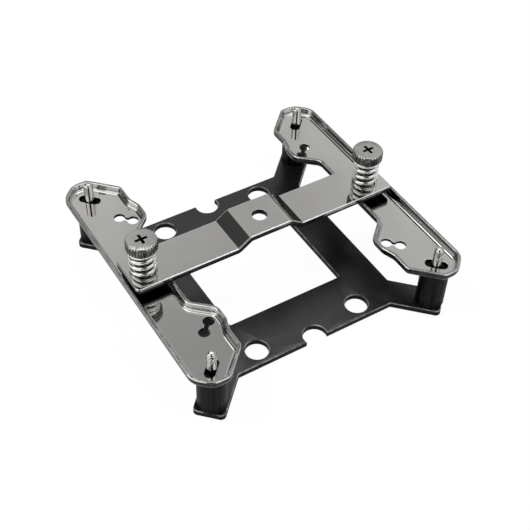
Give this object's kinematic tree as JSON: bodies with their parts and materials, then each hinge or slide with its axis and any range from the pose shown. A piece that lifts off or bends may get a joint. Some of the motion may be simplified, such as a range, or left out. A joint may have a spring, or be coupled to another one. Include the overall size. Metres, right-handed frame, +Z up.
{
  "type": "cpu cooler mounting bracket",
  "caption": "Steel backplate with studs and tube spacers, pressed side rails and a cranked crossbar held by sprung thumb screws, which presses a cooler onto a processor",
  "frame": {"origin": "middle of the backplate's underside, which is the bottom of the whole part", "axes": "+X along the crossbar, +Y along the rails, +Z up, from the backplate to the thumb screws"},
  "size_m": [0.0898, 0.088, 0.0325],
  "materials": {
    "black_steel": "black satin coating",
    "bright_nickel": "mirror-bright nickel plating",
    "stud_steel": "bright plated thread",
    "black_plastic": "moulded black plastic",
    "nut_steel": "zinc plated",
    "screw_nickel": "turned and nickel plated",
    "clip_steel": "spring steel",
    "spring_steel": "bright spring wire"
  },
  "bodies": {
    "frame": {"backplate": "black_steel", "stud_front_left": "stud_steel", "stud_front_right": "stud_steel", "stud_rear_left": "stud_steel", "stud_rear_right": "stud_steel", "spacer_front_left": "black_plastic", "spacer_front_right": "black_plastic", "spacer_rear_left": "black_plastic", "spacer_rear_right": "black_plastic", "rail_left": "bright_nickel", "rail_right": "bright_nickel", "rail_nut_left": "nut_steel", "rail_nut_right": "nut_steel"},
    "crossbar": {"crossbar": "bright_nickel", "spring_left": "spring_steel", "spring_right": "spring_steel"},
    "clip_left": {"retaining_clip_left": "clip_steel"},
    "screw_left": {"thumb_screw_left": "screw_nickel"},
    "clip_right": {"retaining_clip_right": "clip_steel"},
    "screw_right": {"thumb_screw_right": "screw_nickel"}
  },
  "joints": [
    {"name": "crossbar_lift", "type": "slide", "parent": "frame", "child": "crossbar", "axis": [0, 0, 1], "range_m": [0, 0.003], "stiffness_N_per_m": 42000, "deforming": ["spring_left", "spring_right"]},
    {"name": "screw_left_rise", "type": "slide", "parent": "frame", "child": "clip_left", "axis": [0, 0, 1], "range_m": [0, 0.0009]},
    {"name": "screw_left_turn", "type": "hinge", "parent": "clip_left", "child": "screw_left", "pos_m": [-0.0381, 0, 0.0168], "axis": [0, 0, 1], "range_deg": [0, 648]},
    {"name": "screw_right_rise", "type": "slide", "parent": "frame", "child": "clip_right", "axis": [0, 0, 1], "range_m": [0, 0.0009]},
    {"name": "screw_right_turn", "type": "hinge", "parent": "clip_right", "child": "screw_right", "pos_m": [0.0381, 0, 0.0168], "axis": [0, 0, 1], "range_deg": [0, 648]}
  ],
  "couplings": [
    {"joint": "screw_left_turn", "follows": "screw_left_rise", "rad_per_m": 12566},
    {"joint": "screw_right_turn", "follows": "screw_right_rise", "rad_per_m": 12566}
  ]
}
